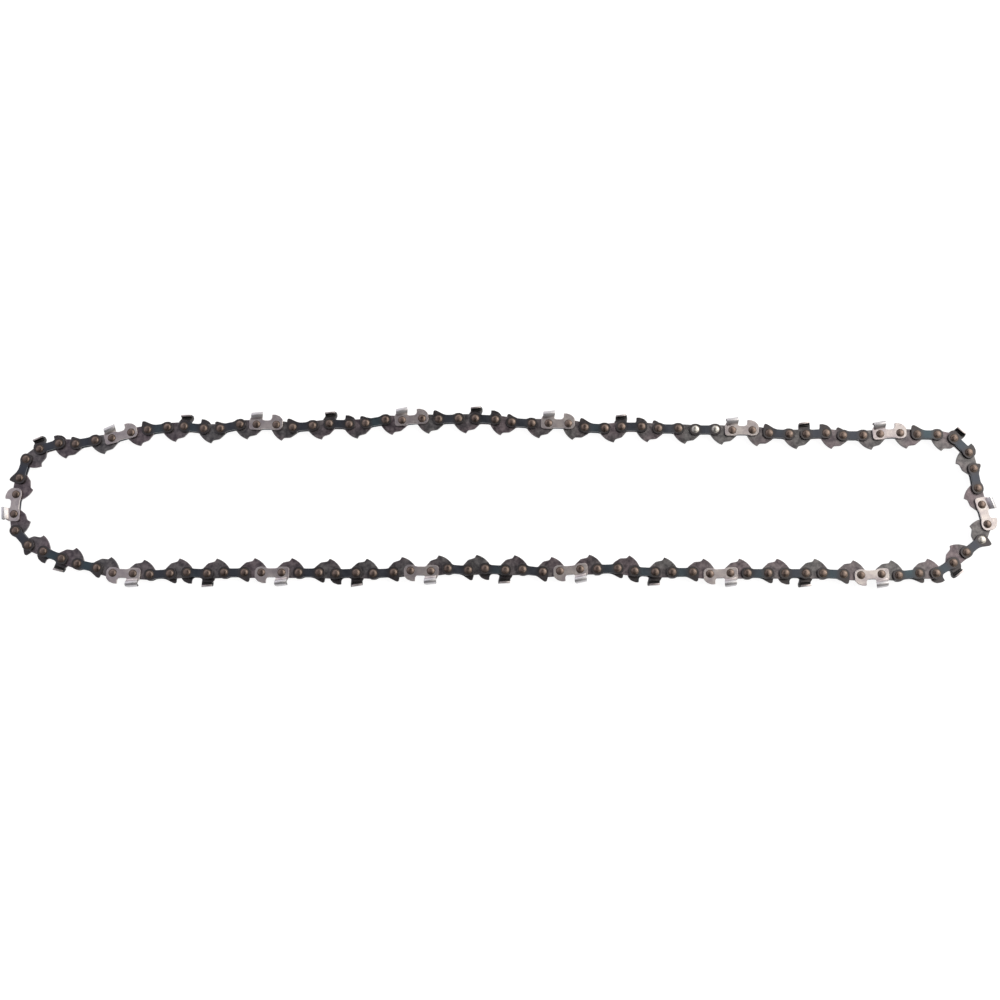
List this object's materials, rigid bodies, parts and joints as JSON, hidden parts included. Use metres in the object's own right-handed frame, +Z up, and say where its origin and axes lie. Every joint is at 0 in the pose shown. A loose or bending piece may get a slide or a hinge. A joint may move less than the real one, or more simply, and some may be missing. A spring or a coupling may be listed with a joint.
{
  "type": "saw chain loop",
  "caption": "Closed loop of saw chain lying flat: hooked drive links riveted between side plates, with alternating left and right cutters, depth gauges and guard straps.",
  "frame": {"origin": "centre of the loop's outline, on the surface that it lies on", "axes": "+X along the long runs, with the joining strap's run on the +Y side; +Z up, along the rivets, out of the right-hand side of the chain"},
  "size_m": [0.5104, 0.0952, 0.0064],
  "materials": {
    "bright_cutter_steel": "plated, with fine grinding marks",
    "dark_cutter_steel": "dark side plate, plated tooth on the far side",
    "blued_strap_steel": "blued, smooth",
    "joining_strap_steel": "blued, with bright rivets"
  },
  "bodies": {
    "link_01": {"link_01_right_cutter": "bright_cutter_steel"},
    "link_02": {"link_02_right_guard_strap": "blued_strap_steel"},
    "link_03": {"link_03_left_cutter": "dark_cutter_steel"},
    "link_04": {"link_04_left_guard_strap": "blued_strap_steel"},
    "link_05": {"link_05_right_cutter": "bright_cutter_steel"},
    "link_06": {"link_06_right_guard_strap": "blued_strap_steel"},
    "link_07": {"link_07_left_cutter": "dark_cutter_steel"},
    "link_08": {"link_08_left_guard_strap": "blued_strap_steel"},
    "link_09": {"link_09_right_cutter": "bright_cutter_steel"},
    "link_10": {"link_10_right_guard_strap": "blued_strap_steel"},
    "link_11": {"link_11_left_cutter": "dark_cutter_steel"},
    "link_12": {"link_12_left_guard_strap": "blued_strap_steel"},
    "link_13": {"link_13_right_cutter": "bright_cutter_steel"},
    "link_14": {"link_14_right_guard_strap": "blued_strap_steel"},
    "link_15": {"link_15_left_cutter": "dark_cutter_steel"},
    "link_16": {"link_16_left_guard_strap": "blued_strap_steel"},
    "link_17": {"link_17_right_cutter": "bright_cutter_steel"},
    "link_18": {"link_18_right_guard_strap": "blued_strap_steel"},
    "link_19": {"link_19_left_cutter": "dark_cutter_steel"},
    "link_20": {"link_20_left_guard_strap": "blued_strap_steel"},
    "link_21": {"link_21_right_cutter": "bright_cutter_steel"},
    "link_22": {"link_22_right_guard_strap": "blued_strap_steel"},
    "link_23": {"link_23_left_cutter": "dark_cutter_steel"},
    "link_24": {"link_24_left_guard_strap": "blued_strap_steel"},
    "link_25": {"link_25_right_cutter": "bright_cutter_steel"},
    "link_26": {"link_26_right_guard_strap": "blued_strap_steel"},
    "link_27": {"link_27_left_cutter": "dark_cutter_steel"},
    "link_28": {"link_28_left_guard_strap": "blued_strap_steel"},
    "link_29": {"link_29_right_cutter": "bright_cutter_steel"},
    "link_30": {"link_30_right_guard_strap": "blued_strap_steel"},
    "link_31": {"link_31_left_cutter": "dark_cutter_steel"},
    "link_32": {"link_32_left_guard_strap": "blued_strap_steel"},
    "link_33": {"link_33_right_cutter": "bright_cutter_steel"},
    "link_34": {"link_34_right_guard_strap": "blued_strap_steel"},
    "link_35": {"link_35_left_cutter": "dark_cutter_steel"},
    "link_36": {"link_36_left_guard_strap": "blued_strap_steel"},
    "link_37": {"link_37_right_cutter": "bright_cutter_steel"},
    "link_38": {"link_38_right_guard_strap": "blued_strap_steel"},
    "link_39": {"link_39_left_cutter": "dark_cutter_steel"},
    "link_40": {"link_40_left_guard_strap": "blued_strap_steel"},
    "link_41": {"link_41_right_cutter": "bright_cutter_steel"},
    "link_42": {"link_42_right_guard_strap": "blued_strap_steel"},
    "link_43": {"link_43_left_cutter": "dark_cutter_steel"},
    "link_44": {"link_44_left_guard_strap": "blued_strap_steel"},
    "link_45": {"link_45_right_cutter": "bright_cutter_steel"},
    "link_46": {"link_46_right_guard_strap": "blued_strap_steel"},
    "link_47": {"link_47_left_cutter": "dark_cutter_steel"},
    "link_48": {"link_48_left_guard_strap": "blued_strap_steel"},
    "link_49": {"link_49_right_cutter": "bright_cutter_steel"},
    "link_50": {"link_50_right_guard_strap": "blued_strap_steel"},
    "link_51": {"link_51_left_cutter": "dark_cutter_steel"},
    "link_52": {"link_52_left_guard_strap": "blued_strap_steel"},
    "link_53": {"link_53_right_cutter": "bright_cutter_steel"},
    "link_54": {"link_54_right_guard_strap": "blued_strap_steel"},
    "link_55": {"link_55_left_cutter": "dark_cutter_steel"},
    "link_56": {"link_56_left_guard_strap": "blued_strap_steel"},
    "link_57": {"link_57_joining_strap": "joining_strap_steel"}
  },
  "joints": [
    {"name": "rivet_01_02", "type": "hinge", "parent": "link_02", "child": "link_01", "pos_m": [0.13237, 0.0344, 0.0032], "axis": [0, 0, 1], "range_deg": [-1.61, 1.61]},
    {"name": "rivet_02_03", "type": "hinge", "parent": "link_03", "child": "link_02", "pos_m": [0.15127, 0.03235, 0.0032], "axis": [0, 0, 1], "range_deg": [-1.66, 1.66]},
    {"name": "rivet_03_04", "type": "hinge", "parent": "link_04", "child": "link_03", "pos_m": [0.17031, 0.03288, 0.0032], "axis": [0, 0, 1], "range_deg": [-2.15, 2.15]},
    {"name": "rivet_04_05", "type": "hinge", "parent": "link_05", "child": "link_04", "pos_m": [0.18927, 0.03167, 0.0032], "axis": [0, 0, 1], "range_deg": [-2.7, 2.7]},
    {"name": "rivet_05_06", "type": "hinge", "parent": "link_06", "child": "link_05", "pos_m": [0.20829, 0.03281, 0.0032], "axis": [0, 0, 1], "range_deg": [-3.04, 3.04]},
    {"name": "rivet_06_07", "type": "hinge", "parent": "link_07", "child": "link_06", "pos_m": [0.22731, 0.03202, 0.0032], "axis": [0, 0, 1], "range_deg": [-2.86, 2.86]},
    {"name": "rivet_07_08", "type": "hinge", "parent": "link_08", "child": "link_07", "pos_m": [0.24285, 0.0225, 0.0032], "axis": [0, 0, 1], "range_deg": [-1.48, 1.48]},
    {"name": "rivet_08_09", "type": "hinge", "parent": "link_09", "child": "link_08", "pos_m": [0.24627, 0.00378, 0.0032], "axis": [0, 0, 1], "range_deg": [-1.6, 1.6]},
    {"name": "rivet_09_10", "type": "hinge", "parent": "link_10", "child": "link_09", "pos_m": [0.24995, -0.01491, 0.0032], "axis": [0, 0, 1], "range_deg": [-1.78, 1.78]},
    {"name": "rivet_10_11", "type": "hinge", "parent": "link_11", "child": "link_10", "pos_m": [0.23855, -0.02936, 0.0032], "axis": [0, 0, 1], "range_deg": [-2.72, 2.72]},
    {"name": "rivet_11_12", "type": "hinge", "parent": "link_12", "child": "link_11", "pos_m": [0.22283, -0.04006, 0.0032], "axis": [0, 0, 1], "range_deg": [-3.2, 3.2]},
    {"name": "rivet_12_13", "type": "hinge", "parent": "link_13", "child": "link_12", "pos_m": [0.20383, -0.04114, 0.0032], "axis": [0, 0, 1], "range_deg": [-3.07, 3.07]},
    {"name": "rivet_13_14", "type": "hinge", "parent": "link_14", "child": "link_13", "pos_m": [0.18482, -0.04108, 0.0032], "axis": [0, 0, 1], "range_deg": [-2.47, 2.47]},
    {"name": "rivet_14_15", "type": "hinge", "parent": "link_15", "child": "link_14", "pos_m": [0.16579, -0.04009, 0.0032], "axis": [0, 0, 1], "range_deg": [-1.73, 1.73]},
    {"name": "rivet_15_16", "type": "hinge", "parent": "link_16", "child": "link_15", "pos_m": [0.14674, -0.04009, 0.0032], "axis": [0, 0, 1], "range_deg": [-1.62, 1.62]},
    {"name": "rivet_16_17", "type": "hinge", "parent": "link_17", "child": "link_16", "pos_m": [0.12769, -0.04009, 0.0032], "axis": [0, 0, 1], "range_deg": [-1.62, 1.62]},
    {"name": "rivet_17_18", "type": "hinge", "parent": "link_18", "child": "link_17", "pos_m": [0.10865, -0.04046, 0.0032], "axis": [0, 0, 1], "range_deg": [-1.84, 1.84]},
    {"name": "rivet_18_19", "type": "hinge", "parent": "link_19", "child": "link_18", "pos_m": [0.08965, -0.03955, 0.0032], "axis": [0, 0, 1], "range_deg": [-1.84, 1.84]},
    {"name": "rivet_19_20", "type": "hinge", "parent": "link_20", "child": "link_19", "pos_m": [0.07061, -0.03902, 0.0032], "axis": [0, 0, 1], "range_deg": [-2.11, 2.11]},
    {"name": "rivet_20_21", "type": "hinge", "parent": "link_21", "child": "link_20", "pos_m": [0.05168, -0.03802, 0.0032], "axis": [0, 0, 1], "range_deg": [-2.58, 2.58]},
    {"name": "rivet_21_22", "type": "hinge", "parent": "link_22", "child": "link_21", "pos_m": [0.03267, -0.03908, 0.0032], "axis": [0, 0, 1], "range_deg": [-2.89, 2.89]},
    {"name": "rivet_22_23", "type": "hinge", "parent": "link_22", "child": "link_23", "pos_m": [0.01371, -0.03827, 0.0032], "axis": [0, 0, 1], "range_deg": [-3, 3]},
    {"name": "rivet_23_24", "type": "hinge", "parent": "link_23", "child": "link_24", "pos_m": [-0.00531, -0.03786, 0.0032], "axis": [0, 0, 1], "range_deg": [-2.98, 2.98]},
    {"name": "rivet_24_25", "type": "hinge", "parent": "link_24", "child": "link_25", "pos_m": [-0.02431, -0.0379, 0.0032], "axis": [0, 0, 1], "range_deg": [-2.75, 2.75]},
    {"name": "rivet_25_26", "type": "hinge", "parent": "link_25", "child": "link_26", "pos_m": [-0.04327, -0.03893, 0.0032], "axis": [0, 0, 1], "range_deg": [-2.37, 2.37]},
    {"name": "rivet_26_27", "type": "hinge", "parent": "link_26", "child": "link_27", "pos_m": [-0.06226, -0.04039, 0.0032], "axis": [0, 0, 1], "range_deg": [-1.86, 1.86]},
    {"name": "rivet_27_28", "type": "hinge", "parent": "link_27", "child": "link_28", "pos_m": [-0.08129, -0.04045, 0.0032], "axis": [0, 0, 1], "range_deg": [-1.73, 1.73]},
    {"name": "rivet_28_29", "type": "hinge", "parent": "link_28", "child": "link_29", "pos_m": [-0.10033, -0.04, 0.0032], "axis": [0, 0, 1], "range_deg": [-1.75, 1.75]},
    {"name": "rivet_29_30", "type": "hinge", "parent": "link_29", "child": "link_30", "pos_m": [-0.11938, -0.04, 0.0032], "axis": [0, 0, 1], "range_deg": [-1.69, 1.69]},
    {"name": "rivet_30_31", "type": "hinge", "parent": "link_30", "child": "link_31", "pos_m": [-0.13843, -0.04001, 0.0032], "axis": [0, 0, 1], "range_deg": [-1.67, 1.67]},
    {"name": "rivet_31_32", "type": "hinge", "parent": "link_31", "child": "link_32", "pos_m": [-0.15746, -0.03993, 0.0032], "axis": [0, 0, 1], "range_deg": [-1.65, 1.65]},
    {"name": "rivet_32_33", "type": "hinge", "parent": "link_32", "child": "link_33", "pos_m": [-0.17647, -0.04108, 0.0032], "axis": [0, 0, 1], "range_deg": [-1.83, 1.83]},
    {"name": "rivet_33_34", "type": "hinge", "parent": "link_33", "child": "link_34", "pos_m": [-0.1955, -0.04027, 0.0032], "axis": [0, 0, 1], "range_deg": [-2.12, 2.12]},
    {"name": "rivet_34_35", "type": "hinge", "parent": "link_34", "child": "link_35", "pos_m": [-0.21395, -0.03557, 0.0032], "axis": [0, 0, 1], "range_deg": [-2.27, 2.27]},
    {"name": "rivet_35_36", "type": "hinge", "parent": "link_35", "child": "link_36", "pos_m": [-0.23188, -0.02917, 0.0032], "axis": [0, 0, 1], "range_deg": [-2.19, 2.19]},
    {"name": "rivet_36_37", "type": "hinge", "parent": "link_36", "child": "link_37", "pos_m": [-0.247, -0.01834, 0.0032], "axis": [0, 0, 1], "range_deg": [-1.66, 1.66]},
    {"name": "rivet_37_38", "type": "hinge", "parent": "link_37", "child": "link_38", "pos_m": [-0.24798, 0.0006, 0.0032], "axis": [0, 0, 1], "range_deg": [-1.77, 1.77]},
    {"name": "rivet_38_39", "type": "hinge", "parent": "link_38", "child": "link_39", "pos_m": [-0.24408, 0.01921, 0.0032], "axis": [0, 0, 1], "range_deg": [-1.58, 1.58]},
    {"name": "rivet_39_40", "type": "hinge", "parent": "link_39", "child": "link_40", "pos_m": [-0.22741, 0.0277, 0.0032], "axis": [0, 0, 1], "range_deg": [-2.51, 2.51]},
    {"name": "rivet_40_41", "type": "hinge", "parent": "link_40", "child": "link_41", "pos_m": [-0.20856, 0.02937, 0.0032], "axis": [0, 0, 1], "range_deg": [-2.33, 2.33]},
    {"name": "rivet_41_42", "type": "hinge", "parent": "link_41", "child": "link_42", "pos_m": [-0.19002, 0.03345, 0.0032], "axis": [0, 0, 1], "range_deg": [-1.96, 1.96]},
    {"name": "rivet_42_43", "type": "hinge", "parent": "link_42", "child": "link_43", "pos_m": [-0.17118, 0.03621, 0.0032], "axis": [0, 0, 1], "range_deg": [-1.56, 1.56]},
    {"name": "rivet_43_44", "type": "hinge", "parent": "link_43", "child": "link_44", "pos_m": [-0.1522, 0.03558, 0.0032], "axis": [0, 0, 1], "range_deg": [-1.65, 1.65]},
    {"name": "rivet_44_45", "type": "hinge", "parent": "link_44", "child": "link_45", "pos_m": [-0.13337, 0.03773, 0.0032], "axis": [0, 0, 1], "range_deg": [-1.67, 1.67]},
    {"name": "rivet_45_46", "type": "hinge", "parent": "link_45", "child": "link_46", "pos_m": [-0.11433, 0.03754, 0.0032], "axis": [0, 0, 1], "range_deg": [-1.77, 1.77]},
    {"name": "rivet_46_47", "type": "hinge", "parent": "link_46", "child": "link_47", "pos_m": [-0.09542, 0.03708, 0.0032], "axis": [0, 0, 1], "range_deg": [-1.75, 1.75]},
    {"name": "rivet_47_48", "type": "hinge", "parent": "link_47", "child": "link_48", "pos_m": [-0.07644, 0.03778, 0.0032], "axis": [0, 0, 1], "range_deg": [-1.73, 1.73]},
    {"name": "rivet_48_49", "type": "hinge", "parent": "link_48", "child": "link_49", "pos_m": [-0.05757, 0.04017, 0.0032], "axis": [0, 0, 1], "range_deg": [-2.01, 2.01]},
    {"name": "rivet_49_50", "type": "hinge", "parent": "link_49", "child": "link_50", "pos_m": [-0.03856, 0.04077, 0.0032], "axis": [0, 0, 1], "range_deg": [-2.47, 2.47]},
    {"name": "rivet_50_51", "type": "hinge", "parent": "link_50", "child": "link_51", "pos_m": [-0.01953, 0.04082, 0.0032], "axis": [0, 0, 1], "range_deg": [-2.8, 2.8]},
    {"name": "rivet_51_52", "type": "hinge", "parent": "link_51", "child": "link_52", "pos_m": [-0.00049, 0.04028, 0.0032], "axis": [0, 0, 1], "range_deg": [-2.96, 2.96]},
    {"name": "rivet_52_53", "type": "hinge", "parent": "link_52", "child": "link_53", "pos_m": [0.01843, 0.03819, 0.0032], "axis": [0, 0, 1], "range_deg": [-2.96, 2.96]},
    {"name": "rivet_53_54", "type": "hinge", "parent": "link_53", "child": "link_54", "pos_m": [0.03748, 0.03801, 0.0032], "axis": [0, 0, 1], "range_deg": [-2.77, 2.77]},
    {"name": "rivet_54_55", "type": "hinge", "parent": "link_54", "child": "link_55", "pos_m": [0.05629, 0.03551, 0.0032], "axis": [0, 0, 1], "range_deg": [-2.39, 2.39]},
    {"name": "rivet_55_56", "type": "hinge", "parent": "link_55", "child": "link_56", "pos_m": [0.07529, 0.03641, 0.0032], "axis": [0, 0, 1], "range_deg": [-1.85, 1.85]},
    {"name": "rivet_56_57", "type": "hinge", "parent": "link_56", "child": "link_57", "pos_m": [0.09429, 0.03532, 0.0032], "axis": [0, 0, 1], "range_deg": [-1.74, 1.74]}
  ],
  "couplings": [
    {"joint": "rivet_01_02", "follows": "rivet_22_23", "ratio": -0.5299},
    {"joint": "rivet_02_03", "follows": "rivet_22_23", "ratio": -0.5453},
    {"joint": "rivet_03_04", "follows": "rivet_22_23", "ratio": -0.7075},
    {"joint": "rivet_04_05", "follows": "rivet_22_23", "ratio": -0.8917},
    {"joint": "rivet_05_06", "follows": "rivet_22_23", "ratio": -1.0053},
    {"joint": "rivet_06_07", "follows": "rivet_22_23", "ratio": -0.9464},
    {"joint": "rivet_07_08", "follows": "rivet_22_23", "ratio": -0.4857},
    {"joint": "rivet_08_09", "follows": "rivet_22_23", "ratio": -0.5239},
    {"joint": "rivet_09_10", "follows": "rivet_22_23", "ratio": 0.5835},
    {"joint": "rivet_10_11", "follows": "rivet_22_23", "ratio": 0.8991},
    {"joint": "rivet_11_12", "follows": "rivet_22_23", "ratio": 1.0589},
    {"joint": "rivet_12_13", "follows": "rivet_22_23", "ratio": 1.0143},
    {"joint": "rivet_13_14", "follows": "rivet_22_23", "ratio": 0.815},
    {"joint": "rivet_14_15", "follows": "rivet_22_23", "ratio": 0.5683},
    {"joint": "rivet_15_16", "follows": "rivet_22_23", "ratio": 0.5301},
    {"joint": "rivet_16_17", "follows": "rivet_22_23", "ratio": 0.5309},
    {"joint": "rivet_17_18", "follows": "rivet_22_23", "ratio": -0.6044},
    {"joint": "rivet_18_19", "follows": "rivet_22_23", "ratio": -0.6047},
    {"joint": "rivet_19_20", "follows": "rivet_22_23", "ratio": -0.6965},
    {"joint": "rivet_20_21", "follows": "rivet_22_23", "ratio": -0.8525},
    {"joint": "rivet_21_22", "follows": "rivet_22_23", "ratio": -0.9555},
    {"joint": "rivet_23_24", "follows": "rivet_22_23", "ratio": 0.9852},
    {"joint": "rivet_24_25", "follows": "rivet_22_23", "ratio": 0.91},
    {"joint": "rivet_25_26", "follows": "rivet_22_23", "ratio": 0.7833},
    {"joint": "rivet_26_27", "follows": "rivet_22_23", "ratio": 0.6129},
    {"joint": "rivet_27_28", "follows": "rivet_22_23", "ratio": 0.5696},
    {"joint": "rivet_28_29", "follows": "rivet_22_23", "ratio": 0.5752},
    {"joint": "rivet_29_30", "follows": "rivet_22_23", "ratio": -0.5536},
    {"joint": "rivet_30_31", "follows": "rivet_22_23", "ratio": -0.5473},
    {"joint": "rivet_31_32", "follows": "rivet_22_23", "ratio": -0.5416},
    {"joint": "rivet_32_33", "follows": "rivet_22_23", "ratio": -0.6015},
    {"joint": "rivet_33_34", "follows": "rivet_22_23", "ratio": -0.6989},
    {"joint": "rivet_34_35", "follows": "rivet_22_23", "ratio": -0.7497},
    {"joint": "rivet_35_36", "follows": "rivet_22_23", "ratio": -0.7206},
    {"joint": "rivet_36_37", "follows": "rivet_22_23", "ratio": -0.5446},
    {"joint": "rivet_37_38", "follows": "rivet_22_23", "ratio": 0.5809},
    {"joint": "rivet_38_39", "follows": "rivet_22_23", "ratio": 0.5174},
    {"joint": "rivet_39_40", "follows": "rivet_22_23", "ratio": 0.8296},
    {"joint": "rivet_40_41", "follows": "rivet_22_23", "ratio": 0.7676},
    {"joint": "rivet_41_42", "follows": "rivet_22_23", "ratio": 0.6434},
    {"joint": "rivet_42_43", "follows": "rivet_22_23", "ratio": 0.511},
    {"joint": "rivet_43_44", "follows": "rivet_22_23", "ratio": 0.5433},
    {"joint": "rivet_44_45", "follows": "rivet_22_23", "ratio": 0.5477},
    {"joint": "rivet_45_46", "follows": "rivet_22_23", "ratio": -0.5811},
    {"joint": "rivet_46_47", "follows": "rivet_22_23", "ratio": -0.5743},
    {"joint": "rivet_47_48", "follows": "rivet_22_23", "ratio": -0.568},
    {"joint": "rivet_48_49", "follows": "rivet_22_23", "ratio": -0.6617},
    {"joint": "rivet_49_50", "follows": "rivet_22_23", "ratio": -0.8154},
    {"joint": "rivet_50_51", "follows": "rivet_22_23", "ratio": -0.9235},
    {"joint": "rivet_51_52", "follows": "rivet_22_23", "ratio": -0.9769},
    {"joint": "rivet_52_53", "follows": "rivet_22_23", "ratio": -0.9773},
    {"joint": "rivet_53_54", "follows": "rivet_22_23", "ratio": -0.9134},
    {"joint": "rivet_54_55", "follows": "rivet_22_23", "ratio": -0.7884},
    {"joint": "rivet_55_56", "follows": "rivet_22_23", "ratio": -0.6072},
    {"joint": "rivet_56_57", "follows": "rivet_22_23", "ratio": -0.5733}
  ]
}
